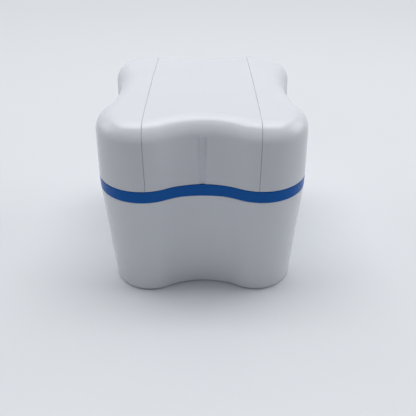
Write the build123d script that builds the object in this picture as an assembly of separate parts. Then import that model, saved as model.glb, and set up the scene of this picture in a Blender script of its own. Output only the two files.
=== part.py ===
from build123d import *
import math
import os

# Denture bath case: a white tub with a blue collar, a drain basket, and a hinged white lid
# that is crossed from front to back by a separate saddle panel.
# Millimetres. +Z is up, the origin is the centre of the footprint on the surface it stands on,
# the front is towards -Y and the hinge is at the back, +Y.

# Plan outline at the collar: four round lobes joined by four shallow waists
overall_width = 85.0
overall_depth = 95.0
lobe_radius = 19.0
front_waist = 6.0
side_waist = 5.0

# Heights
seat_z = 47.55
parting_z = 52.45
parting_gap = 0.15
overall_height = 80.2

# Walls, drafts and roundings
wall = 2.8
skin = wall / 2
tub_draft = 2.94
lid_draft = 2.5
floor_thickness = 2.8
floor_round = 4.0
lid_round = 7.5
crown_radius = 800.0
foot_round = 1.3
edge_round = 0.2
fit_gap = 0.05

# Foot rim under the tub
foot_width = 3.0
foot_recess = 0.8

# Ribs in the tub that carry the basket
rib_width = 2.4
rib_inset = 5.0
rib_angles = (15.0, 75.0)

# Flattened thumb rest at the front of the collar
thumb_rest_half = 7.5
thumb_rest_radius = 44.0

# Lid saddle between its two seams
seam_x = 22.0
seam_gap = 0.08
seam_round = 0.2
groove_top = 72.5
groove_top_depth = 1.3
groove_foot_depth = 0.6
groove_core_radius = 1.6
groove_shoulder_radius = 2.0
groove_overshoot = 0.15
groove_wall = 0.8
stud_radius = 1.6
stud_x = 14.0
stud_y = 20.0
stud_length = 2.1

# Lid seal, in a rebate round the lower inner edge of the lid
seal_rebate_height = 1.15
seal_outer_inset = skin + 0.1
seal_clearance = 0.1

# Hinge in the back waist, its pin just inside the reach of the rear lobes
hinge_setback = 0.6
hinge_z = (seat_z + parting_z) / 2
knuckle_radius = 1.9
pin_radius = 0.8
lid_knuckle_half = 6.3
collar_knuckle_inner = 6.6
collar_knuckle_outer = 13.6
hinge_arm_bottom = 52.85
hinge_arm_top = 59.5
hinge_arm_root = 39.5
hinge_arm_back = 43.0
hinge_arm_shoulder = 3.0
hinge_arm_round = 0.4

# Front catch, a clip pressed through the lid wall under the saddle
catch_half = 7.0
catch_thickness = 1.4
catch_inset = wall + 0.2
catch_bottom = 48.4
catch_top = 60.0
catch_bead_z = 49.8
catch_bead_height = 0.8
catch_bead_half = 6.0
catch_groove_depth = 0.4
catch_stub_half = 4.0
catch_stub_bottom = 56.0
catch_stub_top = 59.0

# Basket
rim_z = 44.0
rim_thickness = 1.6
rim_inset = 3.6
basket_inset = 6.4
basket_wall = 1.5
basket_draft = 3.5
basket_bottom = 9.0
basket_round = 4.0
catch_notch_half = 10.0
catch_notch_inset = 5.2
ear_inset = 5.0
ear_thickness = 1.8
ear_half = 9.0
ear_top = 60.0
ear_round = 5.0
ear_hole_length = 10.0
ear_hole_height = 4.6
ear_hole_drop = 5.0
slot_width = 3.0
slot_height = 20.0
slot_z = 28.0
slot_pitch = 6.0
front_slots = 7
side_slots = 9
drain_radius = 1.8
drain_pitch = 7.2
drain_margin = 7.0

hinge_y = overall_depth / 2 - hinge_setback
rebate_top = parting_z + parting_gap + seal_rebate_height
lobe_x = overall_width / 2 - lobe_radius
lobe_y = overall_depth / 2 - lobe_radius
big = 200.0


def waist_reach(half_span, depth):
    """Distance between the centre of a lobe and that of the waist arc tangent to it."""
    return (half_span**2 + depth**2) / (2 * depth)


front_reach = waist_reach(lobe_x, front_waist)
side_reach = waist_reach(lobe_y, side_waist)
front_waist_radius = front_reach - lobe_radius
side_waist_radius = side_reach - lobe_radius
front_centre_y = lobe_y + front_reach - front_waist
side_centre_x = lobe_x + side_reach - side_waist
front_wall_y = -(overall_depth / 2 - front_waist)
side_wall_x = overall_width / 2 - side_waist


def outline(inset=0.0):
    """The plan outline as a face, moved inwards by inset."""
    front_half = math.degrees(math.atan2(lobe_x, front_centre_y - lobe_y))
    side_half = math.degrees(math.atan2(lobe_y, side_centre_x - lobe_x))
    lobe_arc = 90 + front_half + side_half
    lobes = (
        (1, 1, -side_half),
        (-1, 1, 90 - front_half),
        (-1, -1, 180 - side_half),
        (1, -1, 270 - front_half),
    )
    arcs = []
    for side, end, start in lobes:
        centre = (side * lobe_x, end * lobe_y)
        arcs.append(CenterArc(centre, lobe_radius - inset, start, lobe_arc))
    for end in (-1, 1):
        centre = (0, end * front_centre_y)
        start = 180 + 90 * end - front_half
        arcs.append(CenterArc(centre, front_waist_radius + inset, start, 2 * front_half))
    for side in (-1, 1):
        centre = (side * side_centre_x, 0)
        start = 90 + 90 * side - side_half
        arcs.append(CenterArc(centre, side_waist_radius + inset, start, 2 * side_half))
    return make_face(arcs)


def prism(inset, bottom, top):
    """Straight-walled block with the plan outline."""
    return extrude(Pos(0, 0, bottom) * outline(inset), top - bottom)


def ring(outer_inset, inner_inset, bottom, top):
    """Straight-walled ring that follows the plan outline."""
    return prism(outer_inset, bottom, top) - prism(inner_inset, bottom - 1, top + 1)


def drafted_down(inset, top, bottom, draft):
    """Block that narrows downwards from the plan outline at its top."""
    return extrude(Pos(0, 0, top) * Rot(180, 0, 0) * outline(inset), top - bottom, taper=draft)


def span(x_min, x_max, y_min, y_max, z_min, z_max):
    """Box between two corners."""
    middle = Pos((x_min + x_max) / 2, (y_min + y_max) / 2, (z_min + z_max) / 2)
    return middle * Box(x_max - x_min, y_max - y_min, z_max - z_min)


def rod(radius, x_min, x_max, y, z):
    """Round bar along X."""
    return Pos((x_min + x_max) / 2, y, z) * Rot(0, 90, 0) * Cylinder(radius, x_max - x_min)


def level_edges(shape, z):
    """Edges that lie at one height."""
    return shape.edges().filter_by_position(Axis.Z, z - 0.01, z + 0.01)


def lid_form(inset):
    """Crowned lid shape with drafted walls and a rounded top edge, moved inwards by inset."""
    block = extrude(Pos(0, 0, parting_z) * outline(inset), overall_height - parting_z, taper=lid_draft)
    crown = Pos(0, 0, overall_height - crown_radius) * Rot(90, 0, 0) * Sphere(crown_radius - inset)
    block = block & crown
    rim = block.edges().filter_by_position(Axis.Z, overall_height - inset - lid_round, big)
    return fillet(rim, lid_round - inset)


def lid_trim():
    """What comes off the lid's outer form to open the parting gap and soften the lower edge."""
    bottom = parting_z + parting_gap
    form = lid_form(0)
    trimmed = form - span(-big, big, -big, big, 0, bottom)
    return form - fillet(level_edges(trimmed, bottom), edge_round)


def seam_slab(half_width):
    """Upright slab from front to back between the seams."""
    return span(-half_width, half_width, -big, big, 0, big)


def on_surface(edge, form):
    """Whether an edge lies on the outside of a form."""
    return form.shells()[0].distance_to(Vertex(edge @ 0.5)) < 0.001


def round_seams(block, form, plane_x):
    """Round the outer edges of a block where it meets a seam."""
    def is_seam_edge(edge):
        box = edge.bounding_box()
        upright = abs(box.max.X - box.min.X) < 0.01
        at_seam = abs(abs(box.min.X) - plane_x) < 0.01
        return upright and at_seam and on_surface(edge, form)

    return fillet(block.edges().filter_by(is_seam_edge), seam_round)


def stud_places():
    """Where the saddle's studs go through the lid."""
    return [(side * stud_x, end * stud_y) for side in (-1, 1) for end in (-1, 1)]


def studs(radius, length):
    """The saddle's four pegs, or the holes for them."""
    top = overall_height - skin
    pegs = [Pos(x, y, top - length / 2) * Cylinder(radius, length) for x, y in stud_places()]
    return Part() + pegs


def hinge_arm():
    """Arm from the back of the lid down to its knuckle, with its outer edges rounded."""
    barrel = Pos(hinge_y, hinge_z) * Rot(0, 0, 180) * Circle(knuckle_radius)
    back = Line((hinge_arm_back, hinge_arm_bottom), (hinge_arm_back, hinge_arm_top))
    profile = make_hull(barrel.edges() + back.edges())
    root_centre = ((hinge_arm_root + hinge_arm_back) / 2, (rebate_top + hinge_arm_top) / 2)
    profile += Pos(*root_centre) * Rectangle(hinge_arm_back - hinge_arm_root, hinge_arm_top - rebate_top)
    shoulder = profile.vertices().sort_by_distance((hinge_arm_back, hinge_arm_top))[0]
    profile = fillet(shoulder, hinge_arm_shoulder)
    arm = extrude(Plane.YZ.offset(-lid_knuckle_half) * profile, 2 * lid_knuckle_half)

    def is_outer_edge(edge):
        middle = edge @ 0.5
        on_end_face = abs(abs(middle.X) - lid_knuckle_half) < 0.01
        behind_root = middle.Y > hinge_arm_root + 0.01
        outer = middle.Y > hinge_arm_back + 0.01 or middle.Z > hinge_arm_top - hinge_arm_shoulder
        return on_end_face and behind_root and outer

    return fillet(arm.edges().filter_by(is_outer_edge), hinge_arm_round)


def hinge_bore():
    """Clearance for the pin through the three knuckles."""
    reach = collar_knuckle_outer + 1
    return rod(pin_radius + fit_gap, -reach, reach, hinge_y, hinge_z)


def lid_shell():
    """One-piece lid: both side caps and, between the seams, a recessed floor for the saddle."""
    channel_half = seam_x + seam_gap / 2
    form = lid_form(0)
    block = form - (seam_slab(channel_half) - lid_form(skin))
    shell = round_seams(block, form, channel_half) - lid_trim()
    shell -= lid_form(wall)
    shell -= prism(skin, parting_z - 1, rebate_top)
    shell -= studs(stud_radius + fit_gap, 2 * wall)
    shell -= catch_stub(fit_gap) + groove_back(fit_gap)
    return shell + hinge_arm() - hinge_bore()


def lid_saddle():
    """White panel that clips over the middle of the lid from the front edge to the back edge."""
    saddle_half = seam_x - seam_gap / 2
    form = lid_form(0)
    block = round_seams(form & seam_slab(saddle_half), form, saddle_half)
    saddle = block - lid_trim() - (lid_form(skin) - groove_back(0))
    saddle -= prism(skin, 0, parting_z + 1)
    saddle -= thumb_groove()
    saddle -= span(-collar_knuckle_inner, collar_knuckle_inner, 0, big, 0, hinge_arm_top + fit_gap)
    return saddle + studs(stud_radius, stud_length)


def groove_section(depth):
    """Level section of the thumb groove: a narrow hollow core between two broad shoulders."""
    core_y = front_wall_y + depth - groove_core_radius
    shoulder_y = front_wall_y + groove_shoulder_radius - groove_overshoot
    reach = groove_core_radius + groove_shoulder_radius
    shoulder_x = math.sqrt(reach**2 - (shoulder_y - core_y) ** 2)
    share = groove_core_radius / reach
    join_x = shoulder_x * share
    join_y = core_y + (shoulder_y - core_y) * share
    rim_y = front_wall_y - groove_overshoot
    half_turn = math.atan2(shoulder_x, shoulder_y - core_y) / 2
    middle_x = shoulder_x - groove_shoulder_radius * math.sin(half_turn)
    middle_y = shoulder_y - groove_shoulder_radius * math.cos(half_turn)
    return make_face([
        ThreePointArc((-shoulder_x, rim_y), (-middle_x, middle_y), (-join_x, join_y)),
        ThreePointArc((-join_x, join_y), (0, front_wall_y + depth), (join_x, join_y)),
        ThreePointArc((join_x, join_y), (middle_x, middle_y), (shoulder_x, rim_y)),
        Line((shoulder_x, rim_y), (shoulder_x, 2 * rim_y)),
        Line((shoulder_x, 2 * rim_y), (-shoulder_x, 2 * rim_y)),
        Line((-shoulder_x, 2 * rim_y), (-shoulder_x, rim_y)),
    ])


def thumb_groove():
    """Shallow upright groove for the thumb, deepest at its top."""
    foot = Pos(0, 0, parting_z) * groove_section(groove_foot_depth)
    top = Pos(0, groove_lean(groove_top), groove_top) * groove_section(groove_top_depth)
    return loft([foot, top], ruled=True)


def groove_lean(z):
    """How far the lid's drafted wall has moved inwards at a height."""
    return (z - parting_z) * math.tan(math.radians(lid_draft))


def groove_back(gap):
    """Rounded wall behind the groove, which bulges into the lid where the groove is deep."""
    top = groove_top + groove_wall
    growth = (groove_top_depth - groove_foot_depth) / (groove_top - parting_z)
    radius = groove_core_radius + groove_wall + gap
    discs = []
    for z in (parting_z, top + gap):
        depth = groove_foot_depth + growth * (z - parting_z)
        y = front_wall_y + groove_lean(z) + depth - groove_core_radius
        discs.append(Pos(0, y, z) * Circle(radius))
    return loft(discs, ruled=True)


def lid_seal():
    """Soft seal in the rebate, resting on the rim of the tub when the lid is shut."""
    return ring(seal_outer_inset, wall, parting_z + seal_clearance, rebate_top)


def catch_stub(gap):
    """Peg of the catch through the lid wall, grown by gap to make its slot."""
    half = catch_stub_half + gap
    box = span(-half, half, -big, front_wall_y + 2 * wall, catch_stub_bottom - gap, catch_stub_top + gap)
    return (box & lid_form(skin)) - prism(catch_inset + catch_thickness / 2, 0, big)


def lid_catch():
    """Springy tongue inside the front of the lid, with a bead for the groove in the tub's neck."""
    inner_inset = catch_inset + catch_thickness
    front = span(-catch_half, catch_half, -big, 0, 0, big)
    tongue = ring(catch_inset, inner_inset, catch_bottom, parting_z + 1) & front
    root = ring(catch_inset, inner_inset, parting_z + 0.5, catch_top) & front & lid_form(wall)
    bead_bottom = catch_bead_z - catch_bead_height / 2
    bead = ring(wall + fit_gap, inner_inset, bead_bottom, bead_bottom + catch_bead_height)
    bead &= span(-catch_bead_half, catch_bead_half, -big, 0, 0, big)
    return tongue + root + bead + (catch_stub(0) - groove_back(fit_gap))


def collar_ring():
    """Blue collar round the neck of the tub, with the thumb rest and two hinge knuckles."""
    block = prism(0, seat_z, parting_z)
    block = fillet(level_edges(block, seat_z) + level_edges(block, parting_z), edge_round)
    rest_y = -front_centre_y + math.sqrt(front_waist_radius**2 - thumb_rest_half**2)
    rest_sag = thumb_rest_radius - math.sqrt(thumb_rest_radius**2 - thumb_rest_half**2)
    half = thumb_rest_half
    rest = span(-half, half, 2 * front_wall_y, front_wall_y + skin / 2, seat_z, parting_z)
    rest -= Pos(0, rest_y + rest_sag - thumb_rest_radius) * Cylinder(thumb_rest_radius, big)
    block += rest
    for side in (-1, 1):
        inner, outer = sorted((side * collar_knuckle_inner, side * collar_knuckle_outer))
        bottom = hinge_z - knuckle_radius
        block += span(inner, outer, -front_wall_y - skin / 2, hinge_y, bottom, hinge_z + knuckle_radius)
        block += rod(knuckle_radius, inner, outer, hinge_y, hinge_z)
    return block - prism(skin - fit_gap, 0, big) - hinge_bore()


def hinge_pin():
    """Steel pin through the three knuckles."""
    pin = rod(pin_radius, -collar_knuckle_outer, collar_knuckle_outer, hinge_y, hinge_z)
    return fillet(pin.edges().filter_by(GeomType.CIRCLE), edge_round)


def tub_cavity():
    """Inside of the tub, from its rounded floor to above the neck."""
    cavity = drafted_down(wall, seat_z, floor_thickness, tub_draft)
    cavity = fillet(level_edges(cavity, floor_thickness), floor_round)
    return cavity + prism(wall, seat_z, parting_z + 1)


def tub_ribs(cavity):
    """Upright ribs in the lobes, with their tops at the height of the basket rim."""
    lining = cavity - drafted_down(rib_inset, seat_z, floor_thickness - 1, tub_draft)
    half = rib_width / 2
    fin = span(lobe_radius / 2, 2 * lobe_radius, -half, half, floor_thickness, rim_z)
    fins = [Pos(lobe_x, lobe_y) * Rot(0, 0, angle) * fin for angle in rib_angles]
    fins += [mirror(fin, Plane.YZ) for fin in fins]
    fins += [mirror(fin, Plane.XZ) for fin in fins]
    return (Part() + fins) & lining


def base_shell():
    """White tub: drafted outside, hollow foot, neck for the collar, ribs for the basket."""
    tub = drafted_down(0, seat_z, 0, tub_draft)
    tub = fillet(level_edges(tub, 0), foot_round)
    tub = fillet(level_edges(tub, seat_z), edge_round)
    tub += prism(skin, seat_z - 1, parting_z)
    cavity = tub_cavity()
    tub -= cavity
    foot_inset = seat_z * math.tan(math.radians(tub_draft)) + foot_width
    tub -= prism(foot_inset, -1, foot_recess)
    groove_bottom = catch_bead_z - catch_bead_height
    groove = prism(wall - catch_groove_depth, groove_bottom, groove_bottom + 2 * catch_bead_height)
    tub -= groove & span(-catch_half, catch_half, -big, 0, 0, big)
    return tub + tub_ribs(cavity)


def basket_slots():
    """Rows of upright drain slots through the four walls of the basket."""
    profile = SlotOverall(slot_height, slot_width, rotation=90)
    slots = []
    for index in range(front_slots):
        x = (index - (front_slots - 1) / 2) * slot_pitch
        slots.append(extrude(Plane.XZ * Pos(x, slot_z) * profile, overall_depth, both=True))
    for index in range(side_slots):
        y = (index - (side_slots - 1) / 2) * slot_pitch
        slots.append(extrude(Plane.YZ * Pos(y, slot_z) * profile, overall_width, both=True))
    return slots


def drain_holes():
    """Staggered round holes over the floor of the basket."""
    allowed = outline(basket_inset + drain_margin)
    row_pitch = drain_pitch * math.sqrt(3) / 2
    rows = int(overall_depth / 2 / row_pitch)
    columns = int(overall_width / 2 / drain_pitch)
    holes = []
    for row in range(-rows, rows + 1):
        shift = drain_pitch / 2 * (row % 2)
        for column in range(-columns - 1, columns + 1):
            x = column * drain_pitch + shift
            y = row * row_pitch
            if allowed.face().is_inside((x, y, 0)):
                holes.append(Pos(x, y, basket_bottom) * Cylinder(drain_radius, 4 * basket_wall))
    return holes


def basket_ear(side):
    """Lifting ear with a finger hole, on one side waist of the basket."""
    middle_x = side_wall_x - ear_inset - ear_thickness / 2
    height = ear_top - rim_z
    plate = Rectangle(2 * ear_half, height)
    plate = fillet(plate.vertices().group_by(Axis.Y)[-1], ear_round)
    plate -= Pos(0, height / 2 - ear_hole_drop) * SlotOverall(ear_hole_length, ear_hole_height)
    place = Plane.YZ.offset(side * middle_x) * Pos(0, rim_z + height / 2)
    return extrude(place * plate, ear_thickness / 2, both=True)


def basket():
    """Blue strainer that hangs on the tub's ribs by its rim."""
    top = rim_z + rim_thickness
    outside = drafted_down(basket_inset, top, basket_bottom, basket_draft)
    outside = fillet(level_edges(outside, basket_bottom), basket_round)
    inside = drafted_down(basket_inset + basket_wall, top, basket_bottom + basket_wall, basket_draft)
    inside = fillet(level_edges(inside, basket_bottom + basket_wall), basket_round - basket_wall)
    rim = prism(rim_inset, rim_z, top)
    rim -= span(-catch_notch_half, catch_notch_half, -big, 0, 0, big) - prism(catch_notch_inset, 0, big)
    body = outside + rim - inside
    body -= basket_slots()
    body -= drain_holes()
    return body + basket_ear(-1) + basket_ear(1)


white = Color(0.92, 0.93, 0.95)
blue = Color(0.10, 0.40, 0.73)
silicone = Color(0.85, 0.87, 0.88)
steel = Color(0.70, 0.71, 0.72)

pieces = {
    "base_shell": (base_shell, white),
    "collar_ring": (collar_ring, blue),
    "basket": (basket, blue),
    "lid_shell": (lid_shell, white),
    "lid_saddle": (lid_saddle, white),
    "lid_seal": (lid_seal, silicone),
    "lid_catch": (lid_catch, white),
    "hinge_pin": (hinge_pin, steel),
}

os.makedirs("parts", exist_ok=True)
for name, (make, colour) in pieces.items():
    piece = make()
    piece.label = name
    piece.color = colour
    export_step(piece, f"parts/{name}.step")
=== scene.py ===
import math

import bpy
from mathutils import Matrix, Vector

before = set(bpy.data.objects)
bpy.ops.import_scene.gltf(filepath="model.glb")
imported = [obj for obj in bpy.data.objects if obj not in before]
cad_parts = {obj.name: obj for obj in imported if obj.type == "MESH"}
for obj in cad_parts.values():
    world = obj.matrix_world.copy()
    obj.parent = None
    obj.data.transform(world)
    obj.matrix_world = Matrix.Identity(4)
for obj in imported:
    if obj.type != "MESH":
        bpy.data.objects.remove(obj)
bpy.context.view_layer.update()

# Denture bath case: its finishes, the studio round it and the camera.
# Metres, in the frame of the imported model: +Z is up and the front faces -Y.

MM = 0.001

# Camera: full-frame lens, place and aim in degrees
LENS_MM = 42.1
SENSOR_MM = 36.0
CAMERA_PLACE = Vector((1.26, -206.6, 150.3)) * MM
CAMERA_PITCH = 33.4
CAMERA_YAW = -0.33

# Colours, linear
# The base and lid whites are one white in two copies: a lighter one for the base as painted light, and a
# darker one for the lid, saddle and catch as painted shade, because the base front takes more light than
# the lid front
BASE_WHITE_LIT = (0.755, 0.768, 0.815)
LID_WHITE_SHADED = (0.715, 0.727, 0.775)
BLUE = (0.004, 0.112, 0.435)
BLUE_INNER = (0.018, 0.135, 0.50)
SILICONE = (0.70, 0.73, 0.75)
STEEL = (0.62, 0.63, 0.65)

# Moulded plastic: noise scales are cycles per metre, tints multiply a colour
CLOUD_SCALE = 28
CLOUD_TINTS = (0.97, 1.03)
HAZE_SCALE = 60
GLOSS_SPREAD = 0.03
WAVE_SCALE = 45
WAVE_DEPTH = 0.035 * MM
GRAIN_SCALE = 1500
GRAIN_DEPTH = 0.0028 * MM
SPECK_SCALE = 5200
SPECK_DEPTH = 0.0009 * MM
PLASTIC_IOR = 1.49
WHITE_GLOW = 0.12
GLOW_RADIUS = (1.0, 0.95, 0.9)
GLOW_DEPTH = 1.2 * MM

# Edges of the plastic, where a rounded normal differs from the true one: a painted highlight lightens their
# colour and burnish raises their roughness
EDGE_RADIUS = 0.5 * MM
EDGE_SAMPLES = 6
EDGE_SHARPEST = 0.90
EDGE_FAINTEST = 0.995
EDGE_HIGHLIGHT_SHARE = 0.35
EDGE_HIGHLIGHT_TINT = 1.08
EDGE_ROUGHNESS = 0.06

# Silicone seal
DUST_SCALE = 420
DUST_TINTS = (0.95, 1.05)
DUST_ROUGHNESS = (0.42, 0.58)
SKIN_SCALE = 1900
SKIN_DEPTH = 0.004 * MM
SILICONE_IOR = 1.41
SILICONE_GLOW = 0.4
SILICONE_GLOW_DEPTH = 1.0 * MM

# Steel pin: the lines are noise stretched along X
LINE_SCALE = 9000
LINE_STRETCH = (0.04, 1.0, 1.0)
LINE_TINTS = (0.85, 1.1)
LINE_ROUGHNESS = (0.22, 0.38)
LINE_DEPTH = 0.002 * MM

# Floor, backdrop and room
FLOOR_HALF = 3.0
FLOOR_COLOUR = (0.735, 0.76, 0.79)
FLOOR_BOUNCE = 0.72
FLOOR_FADE_START = 0.25
FLOOR_FADE_END = 0.8
FIBRE_SCALE = 900
FIBRE_TINTS = (0.995, 1.005)
BACKDROP_COLOUR = (0.69, 0.714, 0.747)
ROOM_COLOUR = (0.62, 0.76, 1.0)
ROOM_STRENGTH = 0.05

# Softboxes: name, place, width, height and power in watts
LAMP_AIM = Vector((0, 0, 40 * MM))
LAMPS = (
    ("overhead", (0, 0.16, 1.6), 2.0, 0.7, 18.4),
    ("rear_window", (0, 0.9, 1.6), 2.4, 1.0, 11),
    ("left_side", (-1.6, 0.35, 0.8), 1.2, 1.0, 5),
    ("right_side", (1.6, 0.35, 0.8), 1.2, 1.0, 8),
    ("front_fill", (0, -2.0, 0.75), 3.4, 1.4, 7.6),
)


class Nodes:
    """A material's node tree, with short calls to add and join nodes."""

    def __init__(self, tree):
        self.tree = tree
        self.tree.nodes.clear()

    def add(self, kind, settings=None, **inputs):
        """New node; inputs are values or other nodes' sockets, by socket name with _ for a space."""
        node = self.tree.nodes.new(kind)
        for name, value in (settings or {}).items():
            setattr(node, name, value)
        for name, value in inputs.items():
            self.feed(node.inputs[name.replace("_", " ")], value)
        return node

    def feed(self, socket, value):
        """Join another node's socket, or set a plain value."""
        if isinstance(value, bpy.types.NodeSocket):
            self.tree.links.new(value, socket)
        else:
            socket.default_value = value

    def place(self):
        """Place on the object, in its own metres."""
        return self.add("ShaderNodeTexCoord").outputs["Object"]

    def noise(self, place, scale, detail=2.0, roughness=0.5):
        """Noise with scale cycles per metre."""
        node = self.add("ShaderNodeTexNoise", Vector=place, Scale=scale, Detail=detail, Roughness=roughness)
        return node.outputs["Fac"]

    def remap(self, value, low, high, from_low=0.25, from_high=0.75):
        """Spread a value over low to high; the defaults fit a noise's usual range."""
        node = self.add("ShaderNodeMapRange", Value=value)
        limits = {"From Min": from_low, "From Max": from_high, "To Min": low, "To Max": high}
        for name, number in limits.items():
            node.inputs[name].default_value = number
        return node.outputs["Result"]

    def math(self, operation, first, second):
        node = self.add("ShaderNodeMath", {"operation": operation})
        self.feed(node.inputs[0], first)
        self.feed(node.inputs[1], second)
        return node.outputs["Value"]

    def blend(self, share, first, second):
        """Colour between two colours."""
        node = self.add("ShaderNodeMix", {"data_type": "RGBA"})
        self.feed(node.inputs["Factor"], share)
        self.feed(node.inputs["A"], first)
        self.feed(node.inputs["B"], second)
        return node.outputs["Result"]

    def mottle(self, share, colour, tints):
        """Colour that wanders between a darker and a lighter tint of itself."""
        darker, lighter = tints
        return self.blend(share, tint(colour, darker), tint(colour, lighter))

    def mix_shaders(self, share, first, second):
        node = self.add("ShaderNodeMixShader")
        self.feed(node.inputs[0], share)
        self.feed(node.inputs[1], first)
        self.feed(node.inputs[2], second)
        return node.outputs["Shader"]

    def bump(self, height, depth, normal=None):
        """Normal bent by a height map whose full range is depth, in metres."""
        node = self.add("ShaderNodeBump", Height=height, Distance=depth)
        if normal is not None:
            self.feed(node.inputs["Normal"], normal)
        return node.outputs["Normal"]

    def edges(self, radius):
        """1 along sharp edges within radius, 0 on open faces."""
        rounded = self.add("ShaderNodeBevel", {"samples": EDGE_SAMPLES}, Radius=radius).outputs["Normal"]
        true = self.add("ShaderNodeNewGeometry").outputs["Normal"]
        node = self.add("ShaderNodeVectorMath", {"operation": "DOT_PRODUCT"})
        self.feed(node.inputs[0], rounded)
        self.feed(node.inputs[1], true)
        return self.remap(node.outputs["Value"], 1.0, 0.0, EDGE_SHARPEST, EDGE_FAINTEST)

    def finish(self, surface):
        """End the tree at the surface output."""
        self.add("ShaderNodeOutputMaterial", Surface=surface)


def new_material(name):
    material = bpy.data.materials.new(name)
    material.use_nodes = True
    return material, Nodes(material.node_tree)


def tint(colour, factor):
    """RGBA of a colour times factor, kept within 1."""
    return tuple(min(1.0, channel * factor) for channel in colour) + (1.0,)


def moulded_plastic(name, colour, gloss, peel=1.0, glow=0.0, shine=0.5):
    """Injection-moulded plastic: faint flow clouds, orange peel, handling haze, and edges with a painted
    highlight and burnished roughness.
    """
    material, nodes = new_material(name)
    place = nodes.place()
    clouds = nodes.noise(place, CLOUD_SCALE, detail=3)
    haze = nodes.noise(place, HAZE_SCALE, detail=2, roughness=0.4)
    waves = nodes.noise(place, WAVE_SCALE, detail=0)
    grain = nodes.noise(place, GRAIN_SCALE, detail=2)
    specks = nodes.noise(place, SPECK_SCALE, detail=1)
    edges = nodes.edges(EDGE_RADIUS)

    tone = nodes.mottle(nodes.remap(clouds, 0, 1, 0.1, 0.9), colour, CLOUD_TINTS)
    # painted highlight: the colour is lightened along the edges
    tone = nodes.blend(nodes.math("MULTIPLY", edges, EDGE_HIGHLIGHT_SHARE), tone, tint(colour, EDGE_HIGHLIGHT_TINT))
    roughness = nodes.remap(haze, gloss - GLOSS_SPREAD, gloss + GLOSS_SPREAD, 0.1, 0.9)
    roughness = nodes.math("ADD", roughness, nodes.math("MULTIPLY", edges, EDGE_ROUGHNESS))

    normal = nodes.bump(waves, WAVE_DEPTH * peel)
    normal = nodes.bump(grain, GRAIN_DEPTH * peel, normal)
    normal = nodes.bump(specks, SPECK_DEPTH * peel, normal)
    shader = nodes.add(
        "ShaderNodeBsdfPrincipled", Base_Color=tone, Roughness=roughness, Normal=normal, IOR=PLASTIC_IOR
    )
    shader.inputs["Specular IOR Level"].default_value = shine
    if glow:
        shader.inputs["Subsurface Weight"].default_value = glow
        shader.inputs["Subsurface Radius"].default_value = GLOW_RADIUS
        shader.inputs["Subsurface Scale"].default_value = GLOW_DEPTH
    nodes.finish(shader.outputs["BSDF"])
    return material


def silicone_rubber(name):
    """Soft milky silicone with a dusty satin skin."""
    material, nodes = new_material(name)
    place = nodes.place()
    dust = nodes.noise(place, DUST_SCALE, detail=4, roughness=0.65)
    skin = nodes.noise(place, SKIN_SCALE, detail=2)
    tone = nodes.mottle(nodes.remap(dust, 0, 1), SILICONE, DUST_TINTS)
    roughness = nodes.remap(dust, *DUST_ROUGHNESS)
    normal = nodes.bump(skin, SKIN_DEPTH)
    shader = nodes.add(
        "ShaderNodeBsdfPrincipled", Base_Color=tone, Roughness=roughness, Normal=normal, IOR=SILICONE_IOR
    )
    shader.inputs["Subsurface Weight"].default_value = SILICONE_GLOW
    shader.inputs["Subsurface Scale"].default_value = SILICONE_GLOW_DEPTH
    nodes.finish(shader.outputs["BSDF"])
    return material


def drawn_steel(name):
    """Pin wire with drawing lines along its length."""
    material, nodes = new_material(name)
    along = nodes.add("ShaderNodeMapping", Vector=nodes.place())
    along.inputs["Scale"].default_value = LINE_STRETCH
    lines = nodes.noise(along.outputs["Vector"], LINE_SCALE, detail=3)
    tone = nodes.mottle(nodes.remap(lines, 0, 1), STEEL, LINE_TINTS)
    roughness = nodes.remap(lines, *LINE_ROUGHNESS)
    normal = nodes.bump(lines, LINE_DEPTH)
    shader = nodes.add(
        "ShaderNodeBsdfPrincipled", Base_Color=tone, Roughness=roughness, Normal=normal, Metallic=1.0
    )
    nodes.finish(shader.outputs["BSDF"])
    return material


def background_seen(nodes):
    """1 for the rays that show the background: camera, glossy and transmission rays."""
    path = nodes.add("ShaderNodeLightPath").outputs
    seen = nodes.math("MAXIMUM", path["Is Camera Ray"], path["Is Glossy Ray"])
    return nodes.math("MAXIMUM", seen, path["Is Transmission Ray"])


def paper_floor(name):
    """Matt pale floor that passes into the backdrop's colour far from the object.

    It throws less light back onto the object than it shows, as paper of limited size would.
    """
    material, nodes = new_material(name)
    place = nodes.place()
    fibres = nodes.noise(place, FIBRE_SCALE, detail=3)
    tone = nodes.mottle(nodes.remap(fibres, 0, 1), FLOOR_COLOUR, FIBRE_TINTS)
    seen = background_seen(nodes)
    paper_tone = nodes.blend(seen, tint(FLOOR_COLOUR, FLOOR_BOUNCE), tone)
    paper = nodes.add("ShaderNodeBsdfDiffuse", Color=paper_tone)
    backdrop = nodes.add("ShaderNodeEmission", Color=tint(BACKDROP_COLOUR, 1), Strength=1.0)
    distance = nodes.add("ShaderNodeVectorMath", {"operation": "LENGTH"}, Vector=place).outputs["Value"]
    far = nodes.remap(distance, 0, 1, FLOOR_FADE_START, FLOOR_FADE_END)
    share = nodes.math("MULTIPLY", far, seen)
    nodes.finish(nodes.mix_shaders(share, paper.outputs["BSDF"], backdrop.outputs["Emission"]))
    return material


def dress(node, material):
    """Give every slot of a CAD node its material."""
    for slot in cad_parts[node].material_slots:
        slot.material = material


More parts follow.
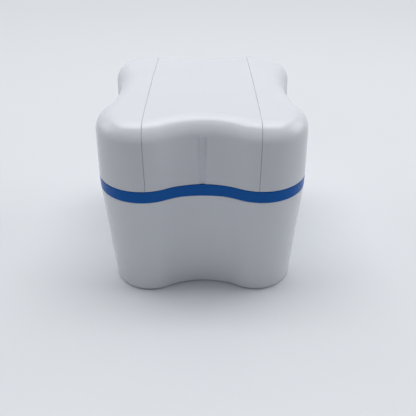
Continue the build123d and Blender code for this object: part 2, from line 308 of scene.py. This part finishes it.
def dress_all():
    # painted light on the base white; painted shade on the lid, saddle and catch whites
    base_white_lit = moulded_plastic("base_white_lit", BASE_WHITE_LIT, gloss=0.24, glow=WHITE_GLOW)
    lid_white_shaded = moulded_plastic("lid_white_shaded", LID_WHITE_SHADED, gloss=0.24, glow=WHITE_GLOW)
    saddle_white_shaded = moulded_plastic("saddle_white_shaded", LID_WHITE_SHADED, gloss=0.22, glow=WHITE_GLOW)
    blue = moulded_plastic("blue_gloss", BLUE, gloss=0.26, shine=0.12)
    blue_inner = moulded_plastic("blue_basket", BLUE_INNER, gloss=0.34, peel=1.6, shine=0.25)
    dress("base_shell", base_white_lit)
    dress("lid_shell", lid_white_shaded)
    dress("lid_saddle", saddle_white_shaded)
    dress("lid_catch", lid_white_shaded)
    dress("collar_ring", blue)
    dress("basket", blue_inner)
    dress("lid_seal", silicone_rubber("silicone_seal"))
    dress("hinge_pin", drawn_steel("pin_steel"))


def make_floor():
    """Square floor under the object."""
    mesh = bpy.data.meshes.new("floor")
    corners = [(x * FLOOR_HALF, y * FLOOR_HALF, 0) for x, y in ((-1, -1), (1, -1), (1, 1), (-1, 1))]
    mesh.from_pydata(corners, [], [(0, 1, 2, 3)])
    floor = bpy.data.objects.new("floor", mesh)
    bpy.context.scene.collection.objects.link(floor)
    floor.data.materials.append(paper_floor("floor_paper"))


def soft_light(name, place, width, height, power):
    """Rectangular softbox at place, turned towards the object and hidden from the camera."""
    lamp = bpy.data.lights.new(name, "AREA")
    lamp.shape = "RECTANGLE"
    lamp.size = width
    lamp.size_y = height
    lamp.energy = power
    light = bpy.data.objects.new(name, lamp)
    light.location = place
    light.rotation_euler = (LAMP_AIM - Vector(place)).to_track_quat("-Z", "Y").to_euler()
    light.visible_camera = False
    bpy.context.scene.collection.objects.link(light)


def light_studio():
    """A wide softbox overhead, a window high behind it, two weak sides and a low front fill."""
    for lamp in LAMPS:
        soft_light(*lamp)


def room():
    """Dim room light, with a pale backdrop where the camera, glossy and clear surfaces look at it."""
    world = bpy.data.worlds.new("room")
    world.use_nodes = True
    nodes = Nodes(world.node_tree)
    backdrop = nodes.add("ShaderNodeBackground", Color=tint(BACKDROP_COLOUR, 1), Strength=1.0)
    dim = nodes.add("ShaderNodeBackground", Color=tint(ROOM_COLOUR, 1), Strength=ROOM_STRENGTH)
    seen = background_seen(nodes)
    surface = nodes.mix_shaders(seen, dim.outputs["Background"], backdrop.outputs["Background"])
    nodes.add("ShaderNodeOutputWorld", Surface=surface)
    bpy.context.scene.world = world


def make_camera():
    """Camera without roll, turned by its yaw and looking down by its pitch."""
    data = bpy.data.cameras.new("camera")
    data.lens = LENS_MM
    data.sensor_width = SENSOR_MM
    camera = bpy.data.objects.new("camera", data)
    camera.location = CAMERA_PLACE
    camera.rotation_euler = (math.radians(90 - CAMERA_PITCH), 0, math.radians(CAMERA_YAW))
    bpy.context.scene.collection.objects.link(camera)
    bpy.context.scene.camera = camera


make_camera()
dress_all()
make_floor()
light_studio()
room()
bpy.context.scene.view_settings.view_transform = "Standard"
